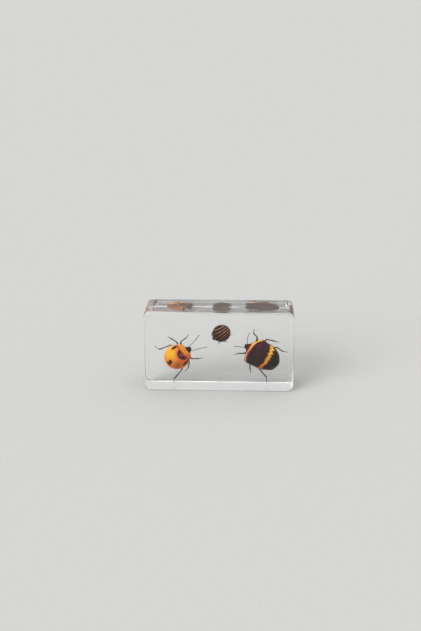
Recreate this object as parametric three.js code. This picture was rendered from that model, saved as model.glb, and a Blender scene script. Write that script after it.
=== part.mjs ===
// A cast block of clear resin that stands on one long narrow side, as a desk display for dried specimens.
// Millimetres, +Z up. The origin is the middle of the underside. X runs along the block's length, Y through
// its thickness (the broad front face looks towards -Y), and Z up its height.
// The specimens are sealed in the resin with no cavity round them, so the block is one solid, right through.

import * as THREE from "three";

// Driving dimensions.
const LENGTH = 73; // along X
const THICKNESS = 20; // along Y
const HEIGHT = 41; // along Z
const CORNER_RADIUS = 3; // the four short edges that run front to back, as the mould leaves them
const FRONT_RIM_RADIUS = 1.5; // the front face's rim, as the mould's floor leaves it
const BACK_RIM_RADIUS = 0.5; // the back face's rim, where the casting was ground flat and its edge broken

// How finely the round stretches are faceted.
const CORNER_STEPS = 28; // straight steps in each corner's quarter turn
const RIM_STEPS = 7; // straight steps in each rim's quarter turn

const QUARTER_TURN = Math.PI / 2;

// One ring of points round the block, as seen from the front, from the underside's right end and against the
// clock. The corners' centres stay where they are, so a ring that is inset all round only turns tighter.
function ringPoints(inset) {
  const right = LENGTH / 2 - CORNER_RADIUS;
  const low = CORNER_RADIUS;
  const high = HEIGHT - CORNER_RADIUS;
  const centres = [
    [right, low],
    [right, high],
    [-right, high],
    [-right, low],
  ];
  return centres.flatMap(([x, z], corner) => {
    const start = (corner - 1) * QUARTER_TURN;
    const arc = new THREE.ArcCurve(x, z, CORNER_RADIUS - inset, start, start + QUARTER_TURN, false);
    return arc.getPoints(CORNER_STEPS);
  });
}

// The section through the thickness, from the front face to the back face: each point's x is the place along
// Y, and its y is how far the ring there is inset.
function rimProfile() {
  const front = FRONT_RIM_RADIUS;
  const back = BACK_RIM_RADIUS;
  const half = THICKNESS / 2;
  const frontRim = new THREE.ArcCurve(front - half, front, front, 2 * QUARTER_TURN, 3 * QUARTER_TURN, false);
  const backRim = new THREE.ArcCurve(half - back, back, back, 3 * QUARTER_TURN, 4 * QUARTER_TURN, false);
  return [...frontRim.getPoints(RIM_STEPS), ...backRim.getPoints(RIM_STEPS)];
}

// A skin over the rings, closed by the two broad faces.
function blockGeometry() {
  const profile = rimProfile();
  const rings = profile.map((step) => ringPoints(step.y));
  const count = rings[0].length;
  const positions = rings.flatMap((ring, k) => ring.flatMap((point) => [point.x, profile[k].x, point.y]));

  const triangles = [];
  for (let k = 0; k < rings.length - 1; k += 1) {
    for (let i = 0; i < count; i += 1) {
      const next = (i + 1) % count;
      const here = k * count;
      const behind = here + count;
      triangles.push(here + i, behind + i, behind + next);
      triangles.push(here + i, behind + next, here + next);
    }
  }
  const last = (rings.length - 1) * count;
  for (const [a, b, c] of THREE.ShapeUtils.triangulateShape(rings[0], [])) {
    triangles.push(a, b, c);
    triangles.push(last + a, last + c, last + b);
  }

  const geometry = new THREE.BufferGeometry();
  geometry.setAttribute("position", new THREE.Float32BufferAttribute(positions, 3));
  geometry.setIndex(triangles);
  geometry.computeVertexNormals();
  return geometry;
}

const clearResin = new THREE.MeshStandardMaterial({
  color: 0xf2f5f4,
  roughness: 0.05,
  metalness: 0,
  transparent: true,
  opacity: 0.3,
});

const block = new THREE.Mesh(blockGeometry(), clearResin);
block.name = "resin_block";

const part = new THREE.Group();
part.add(block);

export default part;
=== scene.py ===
# %% [markdown]
# # Three dried shield bugs in a block of clear resin
#
# The object is a polished casting that stands on one long narrow side, with three bugs sealed in it: a round
# orange one, a small striped one and a large dark one with orange bands. The block's size and place come
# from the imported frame. The bugs are made here, each in its own millimetres, and are then set in the resin.

# %% Load the frame
import math
import random

import bpy
from mathutils import Matrix, Vector


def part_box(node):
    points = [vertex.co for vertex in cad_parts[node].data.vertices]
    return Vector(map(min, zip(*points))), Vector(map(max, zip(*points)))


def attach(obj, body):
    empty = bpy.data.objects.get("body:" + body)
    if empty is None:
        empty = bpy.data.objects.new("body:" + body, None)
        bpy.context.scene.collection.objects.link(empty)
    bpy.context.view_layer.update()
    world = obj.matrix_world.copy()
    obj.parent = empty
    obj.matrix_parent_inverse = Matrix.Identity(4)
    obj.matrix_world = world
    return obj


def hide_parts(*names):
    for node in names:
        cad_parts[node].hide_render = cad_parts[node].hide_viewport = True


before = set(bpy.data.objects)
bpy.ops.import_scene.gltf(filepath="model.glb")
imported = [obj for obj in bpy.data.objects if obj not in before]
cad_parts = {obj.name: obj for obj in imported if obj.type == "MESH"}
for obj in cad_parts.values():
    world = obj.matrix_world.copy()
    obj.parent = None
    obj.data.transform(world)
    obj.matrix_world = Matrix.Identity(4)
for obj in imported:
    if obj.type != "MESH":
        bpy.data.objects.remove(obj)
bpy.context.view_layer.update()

MM = 0.001
low, high = (Vector(corner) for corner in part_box("resin_block"))
block_size = high - low
block_centre = (low + high) / 2
print("block, mm:", [round(side / MM, 2) for side in block_size])

# %% [markdown]
# ## Small helpers for working by hand
#
# Operators act on whatever is selected, and the frame arrives selected, so each step starts from nothing.
# In edit mode a face is picked in code by where it is, as it would be picked with the mouse.

# %% Helpers for modelling


def start_clean():
    """Object mode, with nothing selected."""
    if bpy.context.mode != "OBJECT":
        bpy.ops.object.mode_set(mode="OBJECT")
    bpy.ops.object.select_all(action="DESELECT")


def make_active(piece):
    start_clean()
    piece.select_set(True)
    bpy.context.view_layer.objects.active = piece


def edit(piece, element="VERT"):
    """Edit mode on a piece with nothing selected in it."""
    make_active(piece)
    bpy.ops.object.mode_set(mode="EDIT")
    bpy.ops.mesh.select_mode(type=element)
    bpy.ops.mesh.select_all(action="DESELECT")


def edit_all(piece, element="VERT"):
    """Edit mode on a piece with everything selected in it."""
    edit(piece, element)
    bpy.ops.mesh.select_all(action="SELECT")


def pick(piece, test, element="VERT"):
    """Selects the vertices, edges or faces for which test is true, and stays in edit mode."""
    edit(piece, element)
    bpy.ops.object.mode_set(mode="OBJECT")
    mesh = piece.data
    if element == "VERT":
        for vertex in mesh.vertices:
            vertex.select = test(vertex.co)
    elif element == "EDGE":
        for edge in mesh.edges:
            edge.select = test(*(mesh.vertices[i].co for i in edge.vertices))
    else:
        for face in mesh.polygons:
            face.select = test(face.center, face.normal)
    bpy.ops.object.mode_set(mode="EDIT")


def finish_modifier(piece, kind, **settings):
    """Adds a modifier with its settings and applies it."""
    make_active(piece)
    bpy.ops.object.modifier_add(type=kind)
    modifier = piece.modifiers[-1]
    for name, value in settings.items():
        setattr(modifier, name, value)
    bpy.ops.object.modifier_apply(modifier=modifier.name)


def join(pieces, name):
    start_clean()
    for piece in pieces:
        piece.select_set(True)
    bpy.context.view_layer.objects.active = pieces[0]
    if len(pieces) > 1:
        bpy.ops.object.join()
    pieces[0].name = name
    pieces[0].data.name = name
    return pieces[0]


def stretch(piece, factors):
    """Scales a piece's mesh from its own origin."""
    edit_all(piece)
    bpy.ops.transform.resize(value=factors, center_override=(0, 0, 0))
    bpy.ops.object.mode_set(mode="OBJECT")


def face_outwards(piece):
    edit_all(piece, "FACE")
    bpy.ops.mesh.normals_make_consistent(inside=False)
    bpy.ops.object.mode_set(mode="OBJECT")


# %% [markdown]
# ## The resin block
#
# The casting came out of an open mould with round corners and a round rim at its floor, which is the front
# face here. The back face was ground flat, and its edge was only broken. It could be a cube with one bevel
# all round, but the corners are 3 mm round and the two rims 1.5 and 0.5 mm, so there are three bevels. Clear
# resin shows every fault of the surface normals. A narrow inset round each flat face keeps the shading of
# the flat part truly flat, and leaves the turning to the roundings.

# %% Block

CORNER_RADIUS = 3 * MM
FRONT_RIM_RADIUS = 1.5 * MM
BACK_RIM_RADIUS = 0.5 * MM
CORNER_STEPS = 28
RIM_STEPS = 14
FLAT_INSET = 0.04 * MM
TINY = 1e-5


def cast_block():
    start_clean()
    bpy.ops.mesh.primitive_cube_add(size=1, location=block_centre, scale=block_size)
    block = bpy.context.object
    bpy.ops.object.transform_apply(location=True, rotation=False, scale=True)
    pick(block, lambda a, b: abs(a.y - b.y) > TINY, "EDGE")
    bpy.ops.mesh.bevel(offset=CORNER_RADIUS, segments=CORNER_STEPS, profile=0.5, affect="EDGES")
    for rim_y, radius in ((low.y, FRONT_RIM_RADIUS), (high.y, BACK_RIM_RADIUS)):
        pick(block, lambda a, b: max(abs(a.y - rim_y), abs(b.y - rim_y)) < TINY, "EDGE")
        bpy.ops.mesh.bevel(offset=radius, segments=RIM_STEPS, profile=0.5, affect="EDGES")
    pick(block, lambda centre, normal: max(abs(n) for n in normal) > 1 - 1e-6, "FACE")
    bpy.ops.mesh.inset(thickness=FLAT_INSET, use_individual=True)
    bpy.ops.object.mode_set(mode="OBJECT")
    bpy.ops.object.shade_smooth()
    return block


block = cast_block()
print("block faces:", len(block.data.polygons))

# %% [markdown]
# ## Air caught in the resin
#
# Two tiny bubbles stayed behind when the resin set. A bubble is a hole in the resin, so each is a small
# ball joined to the block with its faces turned inwards: light then bends the right way at its wall.

# %% Bubbles

BUBBLES = [  # place and radius, mm
    ((12.1, -3.0, 35.6), 0.17),
    ((-12.5, -3.0, 5.8), 0.14),
]


def trap_bubbles(block):
    balls = []
    for place, radius in BUBBLES:
        start_clean()
        bpy.ops.mesh.primitive_ico_sphere_add(subdivisions=3, radius=radius * MM, location=Vector(place) * MM)
        ball = bpy.context.object
        bpy.ops.object.transform_apply(location=True)
        edit_all(ball, "FACE")
        bpy.ops.mesh.flip_normals()
        bpy.ops.object.mode_set(mode="OBJECT")
        bpy.ops.object.shade_smooth()
        balls.append(ball)
    return join([block] + balls, "cast_resin")


block = trap_bubbles(block)
print("bubbles:", len(BUBBLES))

# %% [markdown]
# ## Writing materials
#
# Colours are chosen as on a colour chart, in sRGB hex, and one function turns them to the linear values that
# the shader works in. One small function adds any node with its settings and its links.

# %% Helpers for materials


def linear(hex_colour, alpha=1.0):
    values = [int(hex_colour[i:i + 2], 16) / 255 for i in (1, 3, 5)]
    curve = [v / 12.92 if v <= 0.04045 else ((v + 0.055) / 1.055) ** 2.4 for v in values]
    return (*curve, alpha)


def new_material(name):
    material = bpy.data.materials.new(name)
    material.use_nodes = True
    tree = material.node_tree
    return material, tree, tree.nodes["Principled BSDF"]


def plug(tree, node, inputs):
    """Sets inputs, by name or number, to a number, a colour or another node's output, which is linked."""
    for key, value in inputs.items():
        if isinstance(key, int):
            socket = node.inputs[key]
        else:
            socket = next(s for s in node.inputs if s.enabled and s.name == key)
        if isinstance(value, bpy.types.NodeSocket):
            tree.links.new(value, socket)
        else:
            socket.default_value = value


def add(tree, kind, inputs=None, **settings):
    """Adds a node with its settings and links, and gives its first output that is in use."""
    node = tree.nodes.new(kind)
    for name, value in settings.items():
        setattr(node, name, value)
    plug(tree, node, inputs or {})
    return next(socket for socket in node.outputs if socket.enabled)


# %% [markdown]
# ## Clear casting resin
#
# Polyester casting resin bends light more than water and about as much as crown glass, IOR 1.54. Hand
# polishing leaves the faces very slightly uneven, which the eye sees as soft ripples in the reflections, and
# it leaves hair-fine scratches. The real scratches are too fine to show, so they are drawn 0.3 mm apart.
# The wheel slips off the narrow rims, which stay satin and gather a whitish light. They are found by the
# surface's direction: on the front and back rims it turns from a side to a broad face.
# Over its depth the resin takes a trace of light, a little more red than blue, so the edges look cooler.

# %% Resin material

RESIN_IOR = 1.54
POLISH_RIPPLE_MM = 9.0  # distance between the ripples that the polishing wheel left
SCRATCH_MM = 0.3
FACE_ROUGHNESS = 0.012
RIM_ROUGHNESS = 0.30


def casting_resin():
    material, tree, shader = new_material("polished_casting_resin")
    place = add(tree, "ShaderNodeTexCoord").node.outputs["Object"]
    along_wheel = add(tree, "ShaderNodeMapping", {"Vector": place, "Scale": (0.04, 1.0, 1.0)})
    scratches = add(tree, "ShaderNodeTexNoise",
                    {"Vector": along_wheel, "Scale": 1 / (SCRATCH_MM * MM), "Detail": 2.0})
    fine = add(tree, "ShaderNodeBump", {"Height": scratches, "Strength": 0.02, "Distance": 0.02 * MM})
    ripple = add(tree, "ShaderNodeTexNoise",
                 {"Vector": place, "Scale": 1 / (POLISH_RIPPLE_MM * MM), "Detail": 1.0})
    bump = add(tree, "ShaderNodeBump",
               {"Height": ripple, "Strength": 0.06, "Distance": 0.2 * MM, "Normal": fine})
    facing = add(tree, "ShaderNodeTexCoord").node.outputs["Normal"]
    to_back = add(tree, "ShaderNodeSeparateXYZ", {"Vector": facing}).node.outputs["Y"]
    steepness = add(tree, "ShaderNodeMath", {0: to_back}, operation="ABSOLUTE")
    on_rim = add(tree, "ShaderNodeMath", {0: steepness, 1: 0.5}, operation="PINGPONG")
    plug(tree, shader, {
        "Base Color": linear("#FFFFFF"),
        "Roughness": add(tree, "ShaderNodeMapRange", {"Value": on_rim, "From Min": 0.01, "From Max": 0.08,
                                                      "To Min": FACE_ROUGHNESS, "To Max": RIM_ROUGHNESS}),
        "IOR": RESIN_IOR,
        "Transmission Weight": 1.0,
        "Normal": bump,
    })
    depth = add(tree, "ShaderNodeVolumeAbsorption", {"Color": linear("#E4EEEC"), "Density": 3.0})
    plug(tree, tree.nodes["Material Output"], {"Volume": depth})
    return material


resin = casting_resin()
block.data.materials.clear()
block.data.materials.append(resin)
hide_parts("resin_block")
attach(block, "root")
print("resin IOR:", RESIN_IOR)

# %% [markdown]
# ## How a bug lies in the block
#
# Each bug is modelled round its own origin: x runs to the head, y to its left side, z out of its back, and
# zero is the level of the shell's rim. One matrix then lays it in the resin with its back to the front face
# and its head turned to its heading, which is counted from the block's +X towards its top.

# %% Where the bugs lie


def lie_in_resin(centre_mm, heading_degrees):
    heading = math.radians(heading_degrees)
    to_head = Vector((math.cos(heading), 0, math.sin(heading)))
    to_back = Vector((0, -1, 0))
    to_left = to_back.cross(to_head)
    turn = Matrix((to_head, to_left, to_back)).transposed().to_4x4()
    return Matrix.Translation(Vector(centre_mm) * MM) @ turn


ORANGE = {"name": "orange_bug", "lie": lie_in_resin((-20.8, 0.6, 15.4), 38), "shell": "orange_shell"}
STRIPED = {"name": "striped_bug", "lie": lie_in_resin((0.9, 7.2, 26.45), 217), "shell": "striped_shell"}
BANDED = {"name": "banded_bug", "lie": lie_in_resin((20.9, 1.0, 17.1), 149), "shell": "dark_shell"}
for bug in (ORANGE, STRIPED, BANDED):
    print(bug["name"], "at, mm:", [round(v / MM, 1) for v in bug["lie"].translation])


def set_in_resin(piece, bug, name, material):
    """Gives a finished piece its name, finish and place in the block."""
    piece.name = piece.data.name = bug["name"] + "_" + name
    piece.data.materials.clear()
    piece.data.materials.append(material)
    make_active(piece)
    piece.matrix_world = bug["lie"] @ piece.matrix_world
    bpy.ops.object.transform_apply(location=True, rotation=True, scale=True)
    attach(piece, "root")


# %% [markdown]
# ## The egg that every body plate is cut from
#
# A beetle-like body has no flat part and no pole. A ball made from a subdivided cube has even, square faces
# all over, so it can be cut and dented anywhere, where a globe of meridians would pinch. It is stretched to
# size, the head's is tapered to the front, and all are then pulled with proportional editing.

# %% Body egg

SNAP = 1e-7  # m, within which two places are one
ON_CUT = 1e-6  # m, within which a vertex lies on a cut
SHARP = math.radians(50)  # a turn beyond this is an edge, and below it a curve
SHELL_LEVELS = 6  # how often the faces of the shell's egg are divided
SMOOTH_LEVELS = 5  # the same for what has no pits: the belly and the head
PIT_DEPTH = 0.045  # mm


def body_egg(length, width, height, levels, taper=0.0):
    """A quad ball stretched to a piece's size, in mm. A taper below zero narrows its front."""
    start_clean()
    bpy.ops.mesh.primitive_cube_add(size=2 * MM)
    egg = bpy.context.object
    finish_modifier(egg, "SUBSURF", levels=levels, render_levels=levels, subdivision_type="SIMPLE")
    finish_modifier(egg, "CAST", cast_type="SPHERE", factor=1.0, radius=0, use_radius_as_size=False, size=MM)
    stretch(egg, (length / 2, width / 2, height / 2))
    if taper:
        finish_modifier(egg, "SIMPLE_DEFORM", deform_method="TAPER", deform_axis="X", factor=taper)
    return egg


def pull(piece, at, by, reach):
    """Drags the surface near a place, in mm, and what is within reach follows less and less."""
    start = Vector(at) * MM
    nearest = min(piece.data.vertices, key=lambda vertex: (vertex.co - start).length_squared).co.copy()
    pick(piece, lambda co: (co - nearest).length < SNAP)
    bpy.ops.transform.translate(value=Vector(by) * MM, use_proportional_edit=True,
                                proportional_edit_falloff="SMOOTH", proportional_size=reach * MM)
    bpy.ops.object.mode_set(mode="OBJECT")


def pull_both(piece, at, by, reach):
    """The same drag on the left and the right side."""
    x, y, z = at
    dx, dy, dz = by
    pull(piece, (x, y, z), (dx, dy, dz), reach)
    pull(piece, (x, -y, z), (dx, -dy, dz), reach)


def cut_away(piece, point, normal):
    """Removes what lies on the side that normal points to, and leaves the cut open."""
    edit_all(piece)
    bpy.ops.mesh.bisect(plane_co=Vector(point) * MM, plane_no=normal, clear_outer=True, threshold=SNAP)
    bpy.ops.object.mode_set(mode="OBJECT")


def crease(piece, point, normal, depth, half_width, only):
    """A groove along a plane: three cuts, of which the middle one sinks where only(place) is true."""
    middle = Vector(point) * MM
    across = Vector(normal).normalized()
    for offset in (-half_width, half_width, 0):
        edit_all(piece)
        bpy.ops.mesh.bisect(plane_co=middle + across * offset * MM, plane_no=across, threshold=SNAP)
    pick(piece, lambda co: abs((co - middle).dot(across)) < ON_CUT and only(co / MM))
    bpy.ops.transform.shrink_fatten(value=-depth * MM)
    bpy.ops.object.mode_set(mode="OBJECT")


def copy_of(piece):
    make_active(piece)
    bpy.ops.object.duplicate()
    return bpy.context.object


def discard(piece):
    bpy.data.objects.remove(piece, do_unlink=True)


def pit_plate(piece, spacing, name):
    """Fine pits as in real chitin, as true dents: a cell pattern pushes the surface in."""
    pits = bpy.data.textures.new("pits_" + name, "VORONOI")
    pits.noise_scale = spacing * MM
    pits.distance_metric = "DISTANCE"
    finish_modifier(piece, "DISPLACE", texture=pits, texture_coords="LOCAL", strength=PIT_DEPTH * MM,
                    mid_level=1.0)


# %% [markdown]
# ## Shell plates
#
# A shield bug's back is two hard plates. The big one, the scutellum, grew back over the wings to the tail.
# The front one, the pronotum, lies over its root and slopes down to the head. Both are cut from one egg, so
# they share one sweep, and each gets its thickness and a rounded edge. Under them the wing covers show as a
# narrow strip at the shoulders, and the belly's edge stands out all round as a thin pale rim.

# %% Plates

PLATE_THICKNESS = 0.22  # mm, as are the next four
EDGE_ROUNDING = 0.07
SLIVER = 0.03
OVERLAP = 0.25
WING_STRIP = 0.55  # of the wing covers, seen beside the scutellum's root
PRONOTUM_LIFT = (1.012, 1.015, 1.03)  # so much larger it lies over the scutellum
WINGS_SINK = (0.985, 0.99, 0.965)  # so much smaller they lie under it


def harden(plate):
    """Turns a cut skin into a plate with thickness and rounded edges. The cuts' slivers are merged first."""
    edit_all(plate)
    bpy.ops.mesh.remove_doubles(threshold=SLIVER * MM)
    bpy.ops.object.mode_set(mode="OBJECT")
    finish_modifier(plate, "SOLIDIFY", thickness=PLATE_THICKNESS * MM, offset=-1.0)
    finish_modifier(plate, "BEVEL", width=EDGE_ROUNDING * MM, segments=2, limit_method="ANGLE",
                    angle_limit=SHARP)
    make_active(plate)
    bpy.ops.object.shade_smooth()
    return plate


def back_plates(egg, seam, shoulder_y, pit_spacing, name):
    """Pronotum, scutellum and wing covers from one egg. The seam is where the first two meet, along x."""
    cut_away(egg, (0, 0, 0), (0, 0, -1))
    pit_plate(egg, pit_spacing, name)

    pronotum = copy_of(egg)
    cut_away(pronotum, (seam - OVERLAP, 0, 0), (-1, 0, 0))
    stretch(pronotum, PRONOTUM_LIFT)
    crease(pronotum, (seam + 1.1, 0, 0), (1, 0, 0.25), depth=0.10, half_width=0.55,
           only=lambda p: abs(p.y) < shoulder_y * 0.78)
    back_edge = min((vertex.co / MM for vertex in pronotum.data.vertices), key=lambda co: co.x - co.z)
    pull(pronotum, (back_edge.x, 0, back_edge.z), (-0.45, 0, 0.15), shoulder_y * 0.95)

    wings = copy_of(egg)
    cut_away(wings, (seam, 0, 0), (1, 0, 0))
    cut_away(wings, (-seam, 0, 0), (-1, 0, 0))
    stretch(wings, WINGS_SINK)

    cut_away(egg, (seam, 0, 0), (1, 0, 0))
    for side in (1, -1):
        cut_away(egg, (seam, side * (shoulder_y - WING_STRIP), 0), (0.16, side, 0.05))
    return harden(pronotum), harden(egg), harden(wings)


# %% [markdown]
# ## The belly
#
# Underneath, the abdomen is a row of overlapping rings that can slide, so it shows as ridges between
# grooves, which bow towards the tail. The egg's lower half is grooved by creases first, and the midline is
# then dragged back, which bows them. It is a little wider than the shell, which gives the thin pale rim.

# %% Belly

BELLY_RIM = 0.35  # mm that the belly is longer and wider than the shell
BELLY_TOP = 0.12  # mm above the rim's level, where it is closed
BELLY_BOW = 0.7  # mm that the midline is dragged back
BELLY_BOW_REACH = 0.84  # share of the half width over which the drag fades


def belly_half(length, width, depth, grooves, shape=None):
    """The body's lower half, in mm. Grooves are places along x, and shape gives it the shell's outline."""
    egg = body_egg(length + BELLY_RIM, width + BELLY_RIM, 2 * depth, SMOOTH_LEVELS)
    if shape:
        shape(egg)
    cut_away(egg, (0, 0, BELLY_TOP), (0, 0, 1))
    for x in grooves:
        crease(egg, (x, 0, 0), (1, 0, 0), depth=0.10, half_width=0.16, only=lambda p: p.z < -0.05)
    pick(egg, lambda co: abs(co.y) < 0.3 * MM and co.z < -0.85 * depth * MM)
    bpy.ops.transform.translate(value=(-BELLY_BOW * MM, 0, 0), use_proportional_edit=True,
                                proportional_edit_falloff="SMOOTH",
                                proportional_size=width / 2 * BELLY_BOW_REACH * MM)
    edit(egg, "EDGE")
    bpy.ops.mesh.select_non_manifold()
    bpy.ops.mesh.edge_face_add()
    bpy.ops.object.mode_set(mode="OBJECT")
    face_outwards(egg)
    bpy.ops.object.shade_smooth_by_angle(angle=SHARP)
    return egg


# %% [markdown]
# ## The head
#
# A small flattened wedge that tips down in front, with a raised strip down its middle between two grooves,
# and two tiny simple eyes on top. The big eyes at its sides are domes of six-sided lenses. A ball made of
# triangles gives them: with its corners cut off at a third of each edge, nearly only hexagons are left, and
# each is then inset and raised. A real eye has thousands of lenses, and here 482, so that they show.

# %% Head


def lens_ball(radius):
    """A ball of six-sided lenses, with its radius in mm."""
    start_clean()
    bpy.ops.mesh.primitive_ico_sphere_add(subdivisions=3, radius=radius * MM)
    ball = bpy.context.object
    edit_all(ball)
    bpy.ops.mesh.bevel(offset_type="PERCENT", offset_pct=100 / 3, affect="VERTICES", clamp_overlap=False)
    bpy.ops.mesh.select_mode(type="FACE")
    bpy.ops.mesh.select_all(action="SELECT")
    bpy.ops.mesh.inset(thickness=radius * 0.03 * MM, depth=radius * 0.035 * MM, use_individual=True)
    bpy.ops.object.mode_set(mode="OBJECT")
    return ball


def bug_head(length, width, height, at):
    """The head's wedge and its eyes, in mm. Most places on it are shares of its length, width and height."""
    wedge = body_egg(length, width, height, SMOOTH_LEVELS, taper=-0.35)
    for side in (1, -1):
        crease(wedge, (0, side * width * 0.13, 0), (0, 1, 0), depth=0.05, half_width=0.09,
               only=lambda p: p.z > -0.1)
    pull(wedge, (length / 2, 0, 0), (0.12, 0, -height * 0.30), length * 0.5)
    pull_both(wedge, (-length * 0.2, width / 2, 0), (-0.05, 0.10, 0.04), width * 0.3)

    eyes = []
    for side in (1, -1):
        eye = lens_ball(width * 0.165)
        eye.location = Vector((-length * 0.22, side * width * 0.50, height * 0.06)) * MM
        eye.scale = (1.05, 0.85, 1.0)
        eyes.append(eye)
        start_clean()
        bpy.ops.mesh.primitive_ico_sphere_add(subdivisions=3, radius=width * 0.04 * MM)
        simple = bpy.context.object
        simple.location = Vector((-length * 0.28, side * width * 0.17, height * 0.45)) * MM
        simple.scale = (1.0, 1.0, 0.6)
        eyes.append(simple)
    for piece in eyes:
        make_active(piece)
        bpy.ops.object.transform_apply(location=True, scale=True)
    eyes = join(eyes, "eyes")
    for piece in (wedge, eyes):
        make_active(piece)
        bpy.ops.object.shade_smooth()
        piece.location = Vector(at) * MM
        bpy.ops.object.transform_apply(location=True)
    return wedge, eyes


# %% [markdown]
# ## Limb segments
#
# A bug's leg is a chain of stiff tubes: a ball in the hip, a thick thigh, a slim bristly shin, and a foot of
# three small joints with two claws. Each kind of tube is modelled once, ring by ring like a turned spindle,
# and copied to wherever it is needed. The shin carries its bristles with it.

# %% Limb models

LIMB_SIDES = 12
SHIN_LENGTH = 4.0
BRISTLE_ROOT = 0.13 * MM  # from the shin's middle line


def turned(name, rings):
    """A closed spindle that stands on the origin. Each ring is (height, radius) in mm."""
    start_clean()
    height, radius = rings[0]
    bpy.ops.mesh.primitive_circle_add(vertices=LIMB_SIDES, radius=radius * MM, fill_type="NGON",
                                      location=(0, 0, height * MM))
    spindle = bpy.context.object
    bpy.ops.object.transform_apply(location=True)
    edit_all(spindle, "FACE")
    for next_height, next_radius in rings[1:]:
        rise = (next_height - height) * MM
        bpy.ops.mesh.extrude_region_move(TRANSFORM_OT_translate={"value": (0, 0, rise)})
        ratio = next_radius / radius
        bpy.ops.transform.resize(value=(ratio, ratio, 1))
        height, radius = next_height, next_radius
    bpy.ops.object.mode_set(mode="OBJECT")
    face_outwards(spindle)
    make_active(spindle)
    bpy.ops.object.shade_smooth()
    spindle.name = name
    return spindle


def bristled(shin, count, length, seed):
    """Sets short stiff bristles round a shin, leaning towards the foot."""
    rng = random.Random(seed)
    start_clean()
    bpy.ops.mesh.primitive_cone_add(vertices=4, radius1=0.028 * MM, radius2=0.004 * MM, depth=length * MM,
                                    location=(0, 0, length * MM / 2))
    bristle = bpy.context.object
    bpy.ops.object.transform_apply(location=True)
    copies = [shin]
    for _ in range(count):
        height = rng.uniform(0.12, 0.95)
        around = rng.uniform(0, 2 * math.pi)
        lean = rng.uniform(0.6, 0.95)
        hair = copy_of(bristle)
        out = Matrix.Rotation(around, 4, "Z") @ Matrix.Rotation(lean, 4, "Y")
        root = Matrix.Rotation(around, 4, "Z") @ Vector((BRISTLE_ROOT, 0, 0))
        hair.matrix_world = Matrix.Translation(root + Vector((0, 0, height * SHIN_LENGTH * MM))) @ out
        bpy.ops.object.transform_apply(location=True, rotation=True)
        copies.append(hair)
    discard(bristle)
    return join(copies, shin.name)


MODELS = {  # each with the length that it was turned to, mm
    "hip": (1.0, turned("hip", [(-0.1, 0.12), (0.0, 0.34), (0.2, 0.46), (0.5, 0.5), (0.8, 0.4), (1.0, 0.2)])),
    "thigh": (4.0, turned("thigh", [(-0.12, 0.08), (0.0, 0.17), (0.3, 0.25), (1.1, 0.37), (2.2, 0.41),
                                    (3.2, 0.34), (3.8, 0.25), (4.0, 0.22), (4.12, 0.1)])),
    "shin": (SHIN_LENGTH, bristled(turned("shin", [(-0.1, 0.08), (0.0, 0.16), (0.15, 0.19), (0.5, 0.15),
                                                   (2.0, 0.155), (3.5, 0.185), (3.85, 0.22), (4.0, 0.18),
                                                   (4.06, 0.08)]), count=34, length=0.42, seed=5)),
    "foot": (1.0, turned("foot", [(-0.04, 0.05), (0.0, 0.1), (0.2, 0.13), (0.75, 0.155), (0.95, 0.13),
                                  (1.03, 0.06)])),
    "claw": (0.6, turned("claw", [(0.0, 0.07), (0.15, 0.075), (0.35, 0.05), (0.6, 0.012)])),
    "feeler": (1.0, turned("feeler", [(-0.03, 0.04), (0.0, 0.08), (0.08, 0.1), (0.3, 0.095), (0.85, 0.12),
                                      (0.97, 0.1), (1.02, 0.04)])),
}
print("limb models:", {name: len(model.data.polygons) for name, (_, model) in MODELS.items()})


def segment(kind, start, end, thickness=1.0):
    """A copy of a limb model from start to end, in mm."""
    model_length, model = MODELS[kind]
    span = Vector(end) - Vector(start)
    piece = copy_of(model)
    turn = span.to_track_quat("Z", "Y").to_matrix().to_4x4()
    reach = Matrix.Diagonal((thickness, thickness, span.length / model_length, 1))
    piece.matrix_world = Matrix.Translation(Vector(start) * MM) @ turn @ reach
    bpy.ops.object.transform_apply(location=True, rotation=True, scale=True)
    return piece


HIP_SHARE = 0.16  # of the way from the body to the knee
FOOT_JOINTS = (0.0, 0.42, 0.64, 0.92)  # shares of the way from the ankle to the toe


def leg(hip, knee, ankle, toe, size):
    """One leg through its joints, in mm."""
    hip, knee, ankle, toe = (Vector(p) for p in (hip, knee, ankle, toe))
    thigh_root = hip.lerp(knee, HIP_SHARE)
    pieces = [
        segment("hip", hip, thigh_root, size * 1.25),
        segment("thigh", thigh_root, knee, size),
        segment("shin", knee, ankle, size * 1.35),
    ]
    joints = [ankle.lerp(toe, share) for share in FOOT_JOINTS]
    pieces += [segment("foot", a, b, size) for a, b in zip(joints, joints[1:])]
    along = (toe - ankle).normalized()
    aside = along.cross(Vector((0, 0, 1))).normalized()
    for side in (1, -1):
        tip = joints[-1] + (along * 0.34 + aside * side * 0.22 + Vector((0, 0, -0.12))) * size
        pieces.append(segment("claw", joints[-1], tip, size * 0.8))
    return pieces


def feeler(points, size):
    """A feeler of five joints through its bends, in mm. The outer three are a little thicker."""
    joints = zip(points, points[1:])
    return [segment("feeler", a, b, size * (1.15 if i < 2 else 1.30)) for i, (a, b) in enumerate(joints)]


def limbs(legs, feelers, beak, leg_size, feeler_size, beak_size):
    """All legs as one mesh, and the feelers with the beak as another. A limb is a chain of joints, in mm."""
    leg_pieces = [piece for joints in legs for piece in leg(*joints, size=leg_size)]
    thin_pieces = [piece for bends in feelers for piece in feeler(bends, feeler_size)]
    thin_pieces += [segment("feeler", a, b, beak_size) for a, b in zip(beak, beak[1:])]
    return join(leg_pieces, "legs"), join(thin_pieces, "feelers_and_beak")


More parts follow.
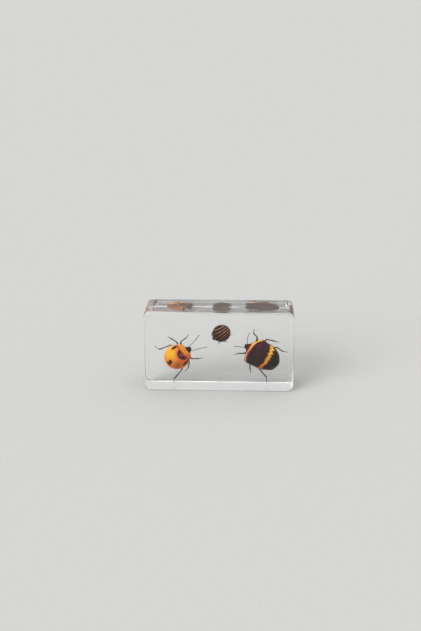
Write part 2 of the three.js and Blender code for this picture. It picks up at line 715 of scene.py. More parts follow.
# %% [markdown]
# ## Finishes for the bugs
#
# Chitin is a hard, layered skin with a satin gloss and fine pits. The dead animals' oranges are pigments
# that stay bright in resin, and their darks are deep maroon more than black. Sealed in resin the surface
# loses most of its shine, because resin bends light nearly as much as chitin does, so its gloss is kept low.
# The marks are drawn in the bug's own millimetres, from ellipses and bands with slightly uneven edges.

# %% Pattern helpers


def bug_place(tree, bug, wobble_mm=0.55):
    """The place on a bug in its own mm, plain and with a slight wobble that makes the marks' edges uneven."""
    place = add(tree, "ShaderNodeTexCoord").node.outputs["Object"]
    own = add(tree, "ShaderNodeMapping", {
        "Vector": place,
        "Location": bug["lie"].translation,
        "Rotation": bug["lie"].to_euler(),
        "Scale": (MM, MM, MM),
    }, vector_type="TEXTURE")
    noise = add(tree, "ShaderNodeTexNoise", {"Vector": own, "Scale": 1.6, "Detail": 2.0}).node
    centred = add(tree, "ShaderNodeVectorMath", {0: noise.outputs["Color"], 1: (0.5, 0.5, 0.5)},
                  operation="SUBTRACT")
    wobble = add(tree, "ShaderNodeVectorMath", {0: centred, "Scale": wobble_mm}, operation="SCALE")
    return own, add(tree, "ShaderNodeVectorMath", {0: own, 1: wobble}, operation="ADD")


def blotch(tree, place, centre, half_size, turn_degrees=0.0, softness=0.12):
    """A mark in the shape of an ellipse, seen from above the back: 1 inside it and 0 outside."""
    fitted = add(tree, "ShaderNodeMapping", {
        "Vector": place,
        "Location": (*centre, 0),
        "Rotation": (0, 0, math.radians(turn_degrees)),
        "Scale": (*half_size, 1000.0),
    }, vector_type="TEXTURE")
    distance = add(tree, "ShaderNodeVectorMath", {0: fitted}, operation="LENGTH")
    return add(tree, "ShaderNodeMapRange",
               {"Value": distance, "From Min": 1 + softness, "From Max": 1 - softness},
               interpolation_type="SMOOTHSTEP")


def band(tree, value, middle, half_width, softness):
    """A band where value is close to middle: 1 inside it and 0 outside."""
    offset = add(tree, "ShaderNodeMath", {0: value, 1: middle}, operation="SUBTRACT")
    distance = add(tree, "ShaderNodeMath", {0: offset}, operation="ABSOLUTE")
    return add(tree, "ShaderNodeMapRange",
               {"Value": distance, "From Min": half_width + softness, "From Max": half_width - softness},
               interpolation_type="SMOOTHSTEP")


def lay_colours(tree, colour, layers):
    """Lays colours over one another like glazes. A layer is a hex colour, its strength and its mask."""
    for hex_colour, strength, mask in layers:
        share = add(tree, "ShaderNodeMath", {0: mask, 1: strength}, operation="MULTIPLY")
        colour = add(tree, "ShaderNodeMix", {"Factor": share, "A": colour, "B": linear(hex_colour)},
                     data_type="RGBA")
    return colour


def finish_chitin(tree, shader, own, colour, roughness, pit_spacing, gloss):
    """Darker pits with their dents, pit_spacing mm apart, and a satin gloss that varies a little."""
    cells = add(tree, "ShaderNodeTexVoronoi", {"Vector": own, "Scale": 1 / pit_spacing})
    pit = add(tree, "ShaderNodeMapRange", {"Value": cells, "From Min": 0.34, "From Max": 0.05},
              interpolation_type="SMOOTHSTEP")
    wear = add(tree, "ShaderNodeTexNoise", {"Vector": own, "Scale": 0.9, "Detail": 3.0})
    plug(tree, shader, {
        "Base Color": lay_colours(tree, colour, [("#4A1A08", 0.22, pit)]),
        "Normal": add(tree, "ShaderNodeBump", {"Height": pit, "Strength": 0.35, "Distance": 0.05 * MM},
                      invert=True),
        "Roughness": add(tree, "ShaderNodeMapRange", {"Value": wear, "To Min": roughness - 0.07,
                                                      "To Max": roughness + 0.09}),
        "IOR": 1.56,
        "Specular IOR Level": gloss,
    })


# %% [markdown]
# ## The orange bug's shell
#
# Warm orange, redder round the crescent, at the scutellum's root and in the pronotum's right corner. A
# painted highlight makes the left of the back yellow, and painted shade makes the right darker and brownish
# low down, where the brown is partly mottling. The rim is yellow on the left, and peach at the tail and on
# the right. On it lie a maroon crescent that opens towards the head, a long dark spot at each side, and a
# two-lobed one near the tail. The crescent is one ellipse with a second one taken out of it. In its middle a
# pale patch is a painted highlight: the light from above reflected where the resin has let go of the shell a
# little.

# %% Orange chitin

DARK_MARK = "#3A0608"


def orange_chitin():
    material, tree, shader = new_material("orange_chitin")
    own, uneven = bug_place(tree, ORANGE)
    x, y, z = add(tree, "ShaderNodeSeparateXYZ", {"Vector": own}).node.outputs
    clouds = add(tree, "ShaderNodeTexNoise", {"Vector": own, "Scale": 0.5, "Detail": 4.0, "Roughness": 0.6})
    ellipse = blotch(tree, uneven, (3.15, -0.1), (1.95, 2.85), softness=0.09)
    bite = blotch(tree, uneven, (5.7, 0.2), (2.2, 4.2), softness=0.10)
    rim = add(tree, "ShaderNodeMapRange", {"Value": z, "From Min": 1.9, "From Max": 0.6})
    right_and_tail = add(tree, "ShaderNodeMapRange", {"Value": y, "From Min": 3.4, "From Max": 0.8})
    layers = [
        # The back: clouds, a painted highlight in yellow on the left, painted shade in darker orange, brown
        # and reddish brown on the right, and redder round the crescent.
        ("#FF9408", 0.8, add(tree, "ShaderNodeMapRange",
                             {"Value": clouds, "From Min": 0.42, "From Max": 0.62})),
        # Painted highlight: the yellow where the light falls on the upper left of the back.
        ("#FFBC1A", 1.0, blotch(tree, own, (-0.9, 3.4), (3.2, 2.7), -20, softness=0.8)),
        # Painted shade: darker orange towards the lower right, away from the light.
        ("#DE6A0C", 0.80, add(tree, "ShaderNodeMapRange", {"Value": y, "From Min": 0.5, "From Max": -4.8})),
        # Brown mottling, which also paints shade low on the right.
        ("#A8600C", 0.50, blotch(tree, uneven, (-1.5, -2.3), (1.5, 1.4), 20, softness=0.8)),
        ("#B8480F", 0.60, blotch(tree, uneven, (-2.7, -3.7), (2.3, 0.9), 20, softness=0.7)),
        ("#F25834", 0.85, blotch(tree, own, (2.3, -0.4), (2.15, 3.6), softness=0.35)),
        # The rim, the pronotum with its right corner, and the dark line behind it.
        ("#FFC848", 0.60, rim),
        ("#F09E7E", 0.85, add(tree, "ShaderNodeMath", {0: rim, 1: right_and_tail}, operation="MULTIPLY")),
        ("#FB9A22", 0.9, add(tree, "ShaderNodeMapRange", {"Value": x, "From Min": 4.0, "From Max": 4.7})),
        ("#EA5A22", 0.75, blotch(tree, uneven, (4.6, -2.7), (1.0, 1.5), softness=0.5)),
        ("#8E1606", 0.85, band(tree, x, 3.85, 0.22, 0.25)),
        # The crescent with a painted highlight in its middle, the spot at each side, and the two-lobed one
        # near the tail.
        (DARK_MARK, 1.0, add(tree, "ShaderNodeMath", {0: ellipse, 1: bite}, operation="SUBTRACT",
                             use_clamp=True)),
        # Painted highlight: a pale patch in the crescent, the light from above reflected where the resin has
        # let go of the shell.
        ("#8E5450", 0.60, blotch(tree, own, (2.65, 0.35), (0.50, 1.05), softness=0.5)),
        (DARK_MARK, 1.0, blotch(tree, uneven, (2.1, 5.0), (1.55, 0.55), -8)),
        (DARK_MARK, 1.0, blotch(tree, uneven, (1.8, -4.6), (2.05, 0.58), 4)),
        (DARK_MARK, 1.0, blotch(tree, uneven, (-4.90, 0.25), (0.70, 1.25), -6)),
        (DARK_MARK, 1.0, blotch(tree, uneven, (-3.50, 0.60), (0.68, 1.10), -6)),
        (DARK_MARK, 0.85, blotch(tree, uneven, (-4.2, 0.1), (0.70, 0.85), softness=0.3)),
    ]
    finish_chitin(tree, shader, own, lay_colours(tree, linear("#F98208"), layers),
                  roughness=0.33, pit_spacing=0.30, gloss=0.10)
    return material


# %% [markdown]
# ## The banded bug's shell
#
# Deep maroon, purple near the right shoulder and black towards the tail, with a painted reflection on the
# left
# side: a blue-black patch. A narrow orange band follows the front of the pronotum from side to side, and a
# broader one with ragged edges crosses the back behind the middle. Both turn from yellow on the right side to
# peach and red on the left, and lie in a rusty border.

# %% Banded chitin

FRONT_BAND_X = 6.75  # mm, where a band crosses the bow's middle
REAR_BAND_X = -2.75
BOW_MIDDLE_Y = 0.75
TOOTH_WIDTH = 1.6


def banded_chitin():
    material, tree, shader = new_material("maroon_chitin_with_orange_bands")
    own, uneven = bug_place(tree, BANDED)
    x, y, _ = add(tree, "ShaderNodeSeparateXYZ", {"Vector": uneven}).node.outputs
    clouds = add(tree, "ShaderNodeTexNoise", {"Vector": own, "Scale": 0.5, "Detail": 3.0})

    # Both bands are bowed: their distance along x from a straight line grows with the square of the distance
    # from the bow's middle, and the front one's ends bend back more still. The rear one has teeth. The teeth
    # and both bands' widths shrink from the right side (y below 0) to the left.
    from_middle = add(tree, "ShaderNodeMath", {0: y, 1: BOW_MIDDLE_Y}, operation="SUBTRACT")
    squared = add(tree, "ShaderNodeMath", {0: from_middle, 1: from_middle}, operation="MULTIPLY")
    steepness = add(tree, "ShaderNodeMath", {0: squared, 1: 0.0007, 2: 0.0157}, operation="MULTIPLY_ADD")
    front = add(tree, "ShaderNodeMath", {0: squared, 1: steepness, 2: x}, operation="MULTIPLY_ADD")
    rear_line = add(tree, "ShaderNodeMath", {0: squared, 1: -0.021, 2: x}, operation="MULTIPLY_ADD")
    lengthwise = add(tree, "ShaderNodeMapping", {"Vector": own, "Scale": (0.15, 1.0, 0.3)})
    streaks = add(tree, "ShaderNodeTexNoise", {"Vector": lengthwise, "Scale": 0.75, "Detail": 1.5})
    uneven_y = add(tree, "ShaderNodeMath", {0: streaks, 1: 2.6, 2: y}, operation="MULTIPLY_ADD")
    teeth = add(tree, "ShaderNodeMath", {0: uneven_y, 1: TOOTH_WIDTH / 2}, operation="PINGPONG")
    size = add(tree, "ShaderNodeMapRange", {"Value": y, "From Min": -5.5, "From Max": 5.5,
                                            "To Min": 1.6, "To Max": 1.1})
    ragged = add(tree, "ShaderNodeMath", {0: teeth, 1: size, 2: rear_line}, operation="MULTIPLY_ADD")
    width = add(tree, "ShaderNodeMapRange", {"Value": y, "From Min": -5.5, "From Max": 5.5,
                                             "To Min": 0.95, "To Max": 0.62})
    off_line = add(tree, "ShaderNodeMath", {0: ragged, 1: REAR_BAND_X}, operation="SUBTRACT")
    rear = add(tree, "ShaderNodeMath", {0: off_line, 1: width}, operation="DIVIDE")
    off_front = add(tree, "ShaderNodeMath", {0: front, 1: FRONT_BAND_X}, operation="SUBTRACT")
    front_width = add(tree, "ShaderNodeMapRange", {"Value": y, "From Min": -3.6, "From Max": 4.6,
                                                   "To Min": 0.50, "To Max": 0.31})
    front_share = add(tree, "ShaderNodeMath", {0: off_front, 1: front_width}, operation="DIVIDE")

    to_left = add(tree, "ShaderNodeMapRange", {"Value": y, "From Min": -3.8, "From Max": 1.5})
    far_left = add(tree, "ShaderNodeMapRange", {"Value": y, "From Min": 2.0, "From Max": 6.5})
    front_colour = lay_colours(tree, linear("#FFC038"),
                               [("#F08C64", 1.0, to_left), ("#F2A05C", 0.8, far_left)])
    rear_colour = lay_colours(tree, linear("#FFC21E"),
                              [("#F59A22", 1.0, to_left), ("#E4602A", 1.0, far_left)])

    colour = lay_colours(tree, linear("#220407"), [
        ("#40080F", 0.9, add(tree, "ShaderNodeMapRange",
                             {"Value": clouds, "From Min": 0.42, "From Max": 0.62})),
        ("#4A0430", 0.85, blotch(tree, own, (3.7, -3.8), (1.4, 1.6), softness=0.6)),
        ("#3A062A", 0.8, blotch(tree, own, (0.4, -4.2), (1.1, 1.3), softness=0.6)),
        # Painted reflection: a blue-black patch on the left side, the shell's faint gloss drawn into its
        # colour.
        ("#080C12", 0.9, blotch(tree, own, (3.0, 5.2), (2.0, 2.0), softness=0.6)),
        ("#060505", 1.0, blotch(tree, own, (-1.2, 3.0), (1.6, 2.4), softness=0.6)),
        ("#070404", 1.0, add(tree, "ShaderNodeMapRange", {"Value": x, "From Min": -3.8, "From Max": -5.4})),
        ("#660E04", 0.95, band(tree, rear, 0.0, 1.40, 0.5)),
        ("#660E04", 0.95, band(tree, front, FRONT_BAND_X, 0.90, 0.35)),
    ])
    for mask, warm in ((band(tree, front_share, 0.0, 1.0, 0.28), front_colour),
                       (band(tree, rear, 0.0, 1.0, 0.12), rear_colour)):
        colour = add(tree, "ShaderNodeMix", {"Factor": mask, "A": colour, "B": warm}, data_type="RGBA")
    finish_chitin(tree, shader, own, colour, roughness=0.30, pit_spacing=0.34, gloss=0.05)
    return material


# %% [markdown]
# ## The striped bug's shell
#
# Dark brown with straw-coloured stripes from head to tail: one on the midline and two on each side, paler
# towards the tail and dimmer down the left side. They draw together at the tail, so the place across the
# body is stretched there before the stripes are counted off on it.

# %% Striped chitin

STRIPE_SPACING = 1.55  # mm, at the middle of the body


def striped_chitin():
    material, tree, shader = new_material("brown_chitin_with_straw_stripes")
    own, uneven = bug_place(tree, STRIPED, wobble_mm=0.25)
    x, y, _ = add(tree, "ShaderNodeSeparateXYZ", {"Vector": uneven}).node.outputs
    clouds = add(tree, "ShaderNodeTexNoise", {"Vector": own, "Scale": 1.1, "Detail": 3.0})
    narrowing = add(tree, "ShaderNodeMath", {0: x, 1: -0.072, 2: 1.01}, operation="MULTIPLY_ADD")
    across = add(tree, "ShaderNodeMath", {0: y, 1: narrowing}, operation="MULTIPLY")
    from_stripe = add(tree, "ShaderNodeMath", {0: across, 1: STRIPE_SPACING / 2}, operation="PINGPONG")
    straw = band(tree, from_stripe, 0.0, 0.15, 0.07)
    pale = add(tree, "ShaderNodeMapRange", {"Value": x, "From Min": 2.5, "From Max": -3.5})
    dim = add(tree, "ShaderNodeMapRange", {"Value": y, "From Min": 0.6, "From Max": 2.8})
    straw_colour = lay_colours(tree, linear("#82481A"), [("#CE9858", 1.0, pale), ("#4A240E", 0.60, dim)])
    dark = lay_colours(tree, linear("#1C0502"), [
        ("#381003", 0.9, add(tree, "ShaderNodeMapRange",
                             {"Value": clouds, "From Min": 0.42, "From Max": 0.62})),
    ])
    colour = add(tree, "ShaderNodeMix", {"Factor": straw, "A": dark, "B": straw_colour}, data_type="RGBA")
    finish_chitin(tree, shader, own, colour, roughness=0.36, pit_spacing=0.22, gloss=0.06)
    return material


# %% [markdown]
# ## Bellies, limbs and eyes
#
# Underneath, each ring of the abdomen has a dark line in its groove and a dark spot at each side, and the
# body's edge stays pale. The limbs are nearly black horn with a redder tone near the body, and dull from
# their fine down. The eyes are dark glossy domes.

# %% Other bug materials


def belly_chitin(name, bug, colours, first_groove, ring, half_width):
    """Takes the ground's, the shade's and the rim's colour. Grooves lie ring mm apart from first_groove."""
    ground, shade, rim = colours
    material, tree, shader = new_material(name)
    own, uneven = bug_place(tree, bug)
    x, y, z = add(tree, "ShaderNodeSeparateXYZ", {"Vector": uneven}).node.outputs
    clouds = add(tree, "ShaderNodeTexNoise", {"Vector": own, "Scale": 0.8, "Detail": 4.0})
    sideways = add(tree, "ShaderNodeMath", {0: y}, operation="ABSOLUTE")
    bow = add(tree, "ShaderNodeMapRange", {"Value": sideways, "From Min": half_width * BELLY_BOW_REACH,
                                           "From Max": 0.0, "To Max": BELLY_BOW},
              interpolation_type="SMOOTHSTEP")
    straightened = add(tree, "ShaderNodeMath", {0: x, 1: bow}, operation="ADD")
    shifted = add(tree, "ShaderNodeMath", {0: straightened, 1: first_groove}, operation="SUBTRACT")
    from_groove = add(tree, "ShaderNodeMath", {0: shifted, 1: ring / 2}, operation="PINGPONG")
    abdomen = add(tree, "ShaderNodeMapRange", {"Value": x, "From Min": 1.2, "From Max": 0.4})
    below = add(tree, "ShaderNodeMapRange", {"Value": z, "From Min": -0.1, "From Max": -0.5})
    folded = add(tree, "ShaderNodeCombineXYZ", {"X": from_groove, "Y": sideways})
    spots = blotch(tree, folded, (ring / 2, half_width * 0.62), (ring * 0.36, half_width * 0.14),
                   softness=0.2)
    lines = add(tree, "ShaderNodeMath", {0: band(tree, from_groove, 0.0, 0.08, 0.06), 1: abdomen},
                operation="MULTIPLY")
    thorax = add(tree, "ShaderNodeMapRange", {"Value": x, "From Min": 2.2, "From Max": 3.4})
    colour = lay_colours(tree, linear(ground), [
        (shade, 0.45, add(tree, "ShaderNodeMapRange",
                          {"Value": clouds, "From Min": 0.45, "From Max": 0.70})),
        (shade, 1.0, add(tree, "ShaderNodeMath", {0: spots, 1: abdomen}, operation="MULTIPLY")),
        (shade, 0.85, add(tree, "ShaderNodeMath", {0: lines, 1: below}, operation="MULTIPLY")),
        (shade, 0.75, add(tree, "ShaderNodeMath", {0: thorax, 1: below}, operation="MULTIPLY")),
        (rim, 0.8, add(tree, "ShaderNodeMapRange", {"Value": z, "From Min": -0.35, "From Max": 0.0})),
    ])
    finish_chitin(tree, shader, own, colour, roughness=0.36, pit_spacing=0.28, gloss=0.08)
    return material


def dark_horn(name, bug, far, near, body_radius):
    """Horn that is near's colour close to the body and far's colour beyond it."""
    material, tree, shader = new_material(name)
    own, uneven = bug_place(tree, bug)
    clouds = add(tree, "ShaderNodeTexNoise", {"Vector": uneven, "Scale": 1.4, "Detail": 4.0})
    reach = add(tree, "ShaderNodeVectorMath", {0: uneven}, operation="LENGTH")
    down = add(tree, "ShaderNodeTexNoise", {"Vector": own, "Scale": 14.0, "Detail": 2.0})
    plug(tree, shader, {
        "Base Color": lay_colours(tree, linear(far), [
            (near, 0.9, add(tree, "ShaderNodeMapRange", {"Value": reach, "From Min": body_radius + 2.5,
                                                         "From Max": body_radius - 0.5})),
            (near, 0.5, add(tree, "ShaderNodeMapRange",
                            {"Value": clouds, "From Min": 0.48, "From Max": 0.66})),
        ]),
        "Normal": add(tree, "ShaderNodeBump", {"Height": down, "Strength": 0.5, "Distance": 0.04 * MM}),
        "Roughness": add(tree, "ShaderNodeMapRange", {"Value": clouds, "To Min": 0.40, "To Max": 0.60}),
        "IOR": 1.56,
        "Specular IOR Level": 0.08,
    })
    return material


def glossy_eye(bug):
    material, tree, shader = new_material("eye_of_" + bug["name"])
    own, _ = bug_place(tree, bug)
    clouds = add(tree, "ShaderNodeTexNoise", {"Vector": own, "Scale": 3.0, "Detail": 2.0})
    plug(tree, shader, {
        "Base Color": lay_colours(tree, linear("#1A0605"), [("#48160E", 0.8, clouds)]),
        "Roughness": add(tree, "ShaderNodeMapRange", {"Value": clouds, "To Min": 0.12, "To Max": 0.24}),
        "IOR": 1.56,
        "Specular IOR Level": 0.3,
    })
    return material


# %% Finishing a bug


def seal_bug(bug, pieces, shell, underside, horn):
    """Gives a bug's eight pieces their finishes, and sets them in the resin."""
    finishes = (
        ("scutellum", shell, bug["shell"]),
        ("pronotum", shell, bug["shell"]),
        ("wing_covers", shell, bug["shell"]),
        ("belly", underside, bug["shell"]),
        ("head", horn, "dark_limbs"),
        ("eyes", glossy_eye(bug), "insect_eyes"),
        ("legs", horn, "dark_limbs"),
        ("feelers_and_beak", horn, "dark_limbs"),
    )
    for piece, (name, material, slot) in zip(pieces, finishes):
        set_in_resin(piece, bug, name, material)
    print(bug["name"], "pieces:", len(finishes))


# %% [markdown]
# ## The orange bug
#
# About as wide as its shell is long: 15 mm with its head by 13 mm, and high-domed. Its front corners reach
# forward on both sides of the head. The long hind legs are stretched out behind it, and its feelers point
# ahead.

# %% Orange bug


def build_orange_bug():
    def front_corners(egg):
        pull_both(egg, (5.4, 3.4, 0.2), (0.35, 0.10, 0), 2.2)
        pull(egg, (6.5, 0, 0.2), (-0.45, 0, 0), 1.6)

    length, width = 13.0, 12.5
    egg = body_egg(length, width, 8.4, SHELL_LEVELS)
    front_corners(egg)
    pull(egg, (0.5, 0, 4.2), (0, 0, 0.18), 3.5)
    pronotum, scutellum, wings = back_plates(egg, seam=4.1, shoulder_y=5.0, pit_spacing=0.42, name="orange")
    grooves = (-4.9, -3.6, -2.3, -1.0, 0.4, 2.2, 4.2)
    belly = belly_half(length, width, 2.5, grooves, front_corners)
    head, eyes = bug_head(length=2.7, width=3.0, height=1.9, at=(6.9, -0.35, -0.15))

    legs, feelers_and_beak = limbs(leg_size=1.12, feeler_size=1.0, beak_size=1.1, legs=[
        ((3.7, 1.5, -2.0), (6.1, 4.9, -1.5), (9.3, 4.9, -1.2), (11.6, 5.4, -1.0)),
        ((2.5, 1.8, -2.2), (4.5, 5.9, -1.6), (3.3, 9.4, -1.3), (2.8, 10.9, -1.2)),
        ((0.6, 1.9, -2.3), (1.2, 6.5, -1.7), (-4.9, 8.2, -1.5), (-5.5, 10.9, -1.3)),
        ((3.7, -1.5, -2.0), (5.0, -5.6, -1.6), (7.6, -7.4, -1.3), (9.2, -8.1, -1.1)),
        ((2.5, -1.8, -2.2), (2.7, -6.2, -1.8), (0.4, -8.1, -1.7), (-2.0, -8.6, -1.6)),
        ((0.6, -1.9, -2.3), (-2.4, -6.9, -1.9), (-8.9, -8.5, -1.6), (-10.1, -9.9, -1.3)),
    ], feelers=[
        ((7.5, 0.7, 0.0), (8.6, 0.9, 0.3), (10.3, 1.0, 0.4), (12.2, 1.4, 0.3), (14.1, 1.9, 0.1),
         (15.9, 2.3, -0.2)),
        ((7.5, -1.4, 0.0), (8.3, -2.0, 0.2), (10.0, -2.6, 0.3), (11.7, -3.3, 0.2), (13.4, -4.2, 0.0),
         (15.0, -5.0, -0.3)),
    ], beak=[(7.4, -0.3, -0.9), (5.9, -0.2, -1.9), (4.0, 0, -2.4), (2.2, 0, -2.6)])

    shell = orange_chitin()
    horn = dark_horn("black_horn_of_orange_bug", ORANGE, far="#0C0708", near="#260E10", body_radius=6.5)
    underside = belly_chitin("orange_belly_with_dark_spots", ORANGE, ("#F08A2C", "#3A0C08", "#F7B184"),
                             grooves[0], ring=1.3, half_width=width / 2)
    seal_bug(ORANGE, (scutellum, pronotum, wings, belly, head, eyes, legs, feelers_and_beak),
             shell, underside, horn)


build_orange_bug()

# %% [markdown]
# ## The banded bug
#
# The largest, nearly 20 mm long with its head, with broad shoulders and a body that narrows to the tail. Its
# thighs are a reddish brown, and its hind legs trail behind it.

# %% Banded bug


def build_banded_bug():
    def shoulders(egg):
        edit_all(egg)
        bpy.ops.transform.translate(value=(-0.8 * MM, 0.35 * MM, 0))
        bpy.ops.object.mode_set(mode="OBJECT")
        pull(egg, (3.6, 7.0, 0.1), (1.8, 1.05, 0), 4.2)
        pull(egg, (3.6, -6.4, 0.1), (0.6, -1.0, 0), 3.6)
        pull(egg, (7.8, 0, 0.1), (-0.20, 0, 0), 2.4)
        pull(egg, (-9.4, 0.6, 0.1), (-0.35, 0, 0), 4.0)
        pull(egg, (-8.0, 4.0, 0.1), (-0.35, 0.35, 0), 2.8)

    length, width = 17.2, 13.6
    egg = body_egg(length, width, 9.6, SHELL_LEVELS)
    shoulders(egg)
    pronotum, scutellum, wings = back_plates(egg, seam=3.6, shoulder_y=5.9, pit_spacing=0.48, name="banded")
    grooves = (-7.4, -5.8, -4.2, -2.6, -0.8, 1.6, 4.0)
    belly = belly_half(length, width, 2.9, grooves, shoulders)
    head, eyes = bug_head(length=3.0, width=3.3, height=2.1, at=(8.0, 0.2, -0.1))

    legs, feelers_and_beak = limbs(leg_size=1.22, feeler_size=1.0, beak_size=1.2, legs=[
        ((4.2, -1.7, -2.3), (6.4, -6.2, -1.8), (9.0, -7.0, -1.5), (9.9, -8.9, -1.3)),
        ((2.2, -2.0, -2.5), (1.9, -7.5, -2.0), (-2.0, -8.9, -1.8), (-4.1, -9.6, -1.6)),
        ((0.2, -2.1, -2.6), (-4.6, -6.6, -2.2), (-8.2, -6.4, -1.9), (-10.7, -7.4, -1.6)),
        ((4.2, 1.7, -2.3), (8.0, 4.9, -1.8), (9.9, 5.9, -1.6), (11.0, 7.4, -1.4)),
        ((2.2, 2.0, -2.5), (2.2, 7.6, -2.0), (0.5, 10.2, -1.7), (-0.7, 11.5, -1.5)),
        ((0.2, 2.1, -2.6), (-3.6, 7.9, -2.2), (-8.6, 9.4, -1.9), (-10.3, 11.9, -1.5)),
    ], feelers=[
        ((8.6, 1.3, 0.0), (9.5, 1.6, 0.2), (10.6, 1.9, 0.3), (11.8, 2.5, 0.2), (12.9, 3.0, 0.1),
         (13.8, 3.5, 0.0)),
        ((8.6, -0.9, 0.0), (9.4, -1.7, -0.4), (9.9, -2.7, -1.0), (10.4, -3.8, -1.6), (10.6, -5.0, -2.1),
         (10.5, -6.2, -2.5)),
    ], beak=[(8.5, 0.2, -0.9), (6.6, 0.1, -2.1), (4.4, 0, -2.8), (2.4, 0, -3.0)])

    shell = banded_chitin()
    horn = dark_horn("reddish_horn_of_banded_bug", BANDED, far="#120608", near="#561410", body_radius=8.0)
    underside = belly_chitin("maroon_belly_of_banded_bug", BANDED, ("#6A2014", "#150506", "#2A0808"),
                             grooves[0], ring=1.6, half_width=width / 2)
    seal_bug(BANDED, (scutellum, pronotum, wings, belly, head, eyes, legs, feelers_and_beak),
             shell, underside, horn)


build_banded_bug()

# %% [markdown]
# ## The striped bug
#
# The smallest, 10 mm long with its head and domed like a button. It dried with its feelers folded under it,
# and only a few feet reach out from under its rim.

# %% Striped bug


def build_striped_bug():
    length, width = 8.9, 8.4
    egg = body_egg(length, width, 5.6, SHELL_LEVELS)
    pull(egg, (-4.4, 0, 0.1), (-0.25, 0, 0), 1.8)
    pronotum, scutellum, wings = back_plates(egg, seam=2.5, shoulder_y=3.6, pit_spacing=0.34, name="striped")
    grooves = (-3.3, -2.4, -1.5, -0.6, 0.5, 1.7, 3.0)
    belly = belly_half(length, width, 1.7, grooves)
    head, eyes = bug_head(length=1.7, width=1.9, height=1.2, at=(4.5, 0.0, -0.1))

    legs, feelers_and_beak = limbs(leg_size=0.72, feeler_size=0.62, beak_size=0.7, legs=[
        ((2.5, 1.0, -1.3), (3.6, 3.2, -1.2), (4.4, 3.6, -1.0), (5.0, 3.9, -0.8)),
        ((1.6, 1.2, -1.4), (2.0, 3.9, -1.3), (1.0, 5.0, -1.1), (0.0, 5.6, -0.9)),
        ((0.4, 1.3, -1.5), (-1.6, 3.4, -1.5), (-3.0, 3.6, -1.3), (-3.9, 4.2, -1.1)),
        ((2.5, -1.0, -1.3), (3.2, -2.6, -1.3), (4.4, -2.4, -1.2), (5.0, -1.7, -1.2)),
        ((1.6, -1.2, -1.4), (1.4, -3.2, -1.5), (0.0, -3.6, -1.5), (-0.9, -3.5, -1.5)),
        ((0.4, -1.3, -1.5), (-1.6, -2.9, -1.6), (-3.0, -2.4, -1.5), (-3.9, -1.8, -1.4)),
    ], feelers=[
        ((4.9, 0.6, -0.3), (5.2, 1.0, -0.8), (4.8, 1.7, -1.3), (4.0, 2.3, -1.6), (3.1, 2.7, -1.8),
         (2.2, 3.0, -1.9)),
        ((4.9, -0.6, -0.3), (5.2, -1.0, -0.8), (4.8, -1.6, -1.3), (4.0, -1.9, -1.7), (3.1, -2.0, -1.9),
         (2.2, -2.0, -2.0)),
    ], beak=[(4.8, 0, -0.5), (3.9, 0, -1.3), (2.6, 0, -1.7)])

    shell = striped_chitin()
    horn = dark_horn("brown_horn_of_striped_bug", STRIPED, far="#100604", near="#3A1A0C", body_radius=4.3)
    underside = belly_chitin("brown_belly_of_striped_bug", STRIPED, ("#7A4422", "#1E0C05", "#2E1208"),
                             grooves[0], ring=0.9, half_width=width / 2)
    seal_bug(STRIPED, (scutellum, pronotum, wings, belly, head, eyes, legs, feelers_and_beak),
             shell, underside, horn)


build_striped_bug()

# %% Limb models, no longer needed

for _, model in MODELS.values():
    discard(model)

# %% [markdown]
# ## Floor, light and camera
#
# A pale floor and soft light from all round, as in a small product studio. Light reaches the bugs only by
# bending through the resin, which small lamps do badly, so the light is painted on the surround itself: as
# bright as the floor at the horizon, so no line shows there, brighter towards the ceiling, and with one big
# soft lamp up at the front left. The resin's rims catch the ceiling's light.

# %% Floor

FLOOR_SIDE = 60.0  # m
FLOOR_GAP = 0.05 * MM  # the film of air under the block


def lay_floor():
    start_clean()
    bpy.ops.mesh.primitive_plane_add(size=FLOOR_SIDE, location=(0, 0, -FLOOR_GAP))
    floor = bpy.context.object
    floor.name = "floor"
    material, tree, shader = new_material("pale_card")
    place = add(tree, "ShaderNodeTexCoord").node.outputs["Object"]
    grain = add(tree, "ShaderNodeTexNoise", {"Vector": place, "Scale": 900.0, "Detail": 2.0})
    plug(tree, shader, {
        "Base Color": lay_colours(tree, linear("#A6A6A5"), [("#B0B0AF", 1.0, grain)]),
        "Roughness": 0.9,
        "Specular IOR Level": 0.0,
    })
    floor.data.materials.append(material)


lay_floor()
print("floor side, m:", FLOOR_SIDE)

# %% Light

HORIZON_GLOW = 0.685
CEILING_GLOW = 1.60
LAMP_GLOW = 7.0
LAMP_FROM = Vector((-0.55, -0.66, 0.51)).normalized()
LAMP_SOFT_EDGE = [math.radians(angle) for angle in (28, 16)]  # off its middle, where it starts and is full
LIGHT_BOUNCES = 24


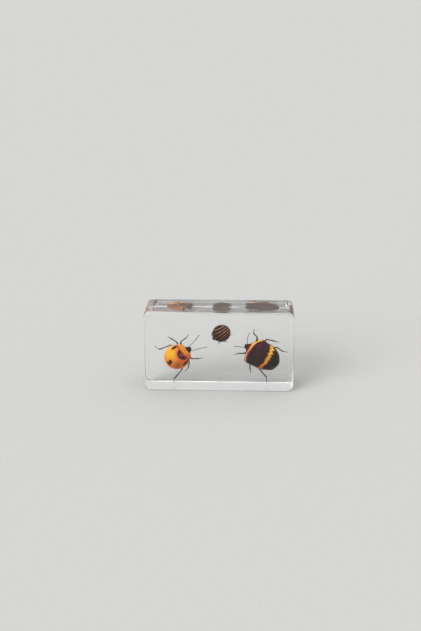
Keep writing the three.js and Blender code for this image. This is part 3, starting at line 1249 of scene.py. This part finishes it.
def light_studio():
    world = bpy.data.worlds.new("studio_surround")
    bpy.context.scene.world = world
    world.use_nodes = True
    tree = world.node_tree
    direction = add(tree, "ShaderNodeTexCoord").node.outputs["Generated"]
    height = add(tree, "ShaderNodeSeparateXYZ", {"Vector": direction}).node.outputs["Z"]
    ceiling = add(tree, "ShaderNodeMapRange", {"Value": height, "From Min": 0.50, "From Max": 0.90,
                                               "To Min": HORIZON_GLOW, "To Max": CEILING_GLOW})
    towards_lamp = add(tree, "ShaderNodeVectorMath", {0: direction, 1: LAMP_FROM},
                       operation="DOT_PRODUCT")
    edge_start, edge_end = (math.cos(angle) for angle in LAMP_SOFT_EDGE)
    lamp = add(tree, "ShaderNodeMapRange", {"Value": towards_lamp, "From Min": edge_start,
                                            "From Max": edge_end, "To Max": LAMP_GLOW},
               interpolation_type="SMOOTHSTEP")
    plug(tree, tree.nodes["Background"], {
        "Color": linear("#FEFEFD"),
        "Strength": add(tree, "ShaderNodeMath", {0: ceiling, 1: lamp}, operation="ADD"),
    })
    # Light is thrown back and forth many times inside the resin, so it is followed further than usual.
    light_paths = bpy.context.scene.cycles
    light_paths.max_bounces = LIGHT_BOUNCES
    light_paths.glossy_bounces = LIGHT_BOUNCES
    light_paths.transmission_bounces = LIGHT_BOUNCES


light_studio()
print("surround, horizon, ceiling and lamp:", HORIZON_GLOW, CEILING_GLOW, LAMP_GLOW)

# %% Camera

PICTURE_HEIGHT = 631  # pixels, of a picture 421 wide
FOCAL_PIXELS = 1054
CAMERA_DISTANCE = 517 * MM
CAMERA_DOWN = math.radians(19.10)
CAMERA_LEFT = math.radians(2.345)
CAMERA_ROLL = math.radians(-0.233)
LOOK_AT = Vector((-4.394, 0, 36.006)) * MM


def stand_camera():
    start_clean()
    bpy.ops.object.camera_add()
    camera = bpy.context.object
    camera.name = "front_camera"
    camera.data.sensor_fit = "VERTICAL"
    camera.data.sensor_height = 36
    camera.data.lens = FOCAL_PIXELS * camera.data.sensor_height / PICTURE_HEIGHT
    camera.data.clip_start = 0.01
    camera.data.dof.use_dof = False
    forward = Vector((-math.sin(CAMERA_LEFT) * math.cos(CAMERA_DOWN),
                      math.cos(CAMERA_LEFT) * math.cos(CAMERA_DOWN), -math.sin(CAMERA_DOWN)))
    right = Vector((math.cos(CAMERA_LEFT), math.sin(CAMERA_LEFT), 0))
    up = right.cross(forward)
    rolled_right = math.cos(CAMERA_ROLL) * right + math.sin(CAMERA_ROLL) * up
    rolled_up = rolled_right.cross(forward)
    turn = Matrix((rolled_right, rolled_up, -forward)).transposed().to_4x4()
    camera.matrix_world = Matrix.Translation(LOOK_AT - forward * CAMERA_DISTANCE) @ turn
    bpy.context.scene.camera = camera
    print("camera at, mm:", [round(v / MM) for v in camera.matrix_world.translation])


stand_camera()
bpy.context.scene.view_settings.view_transform = "Standard"
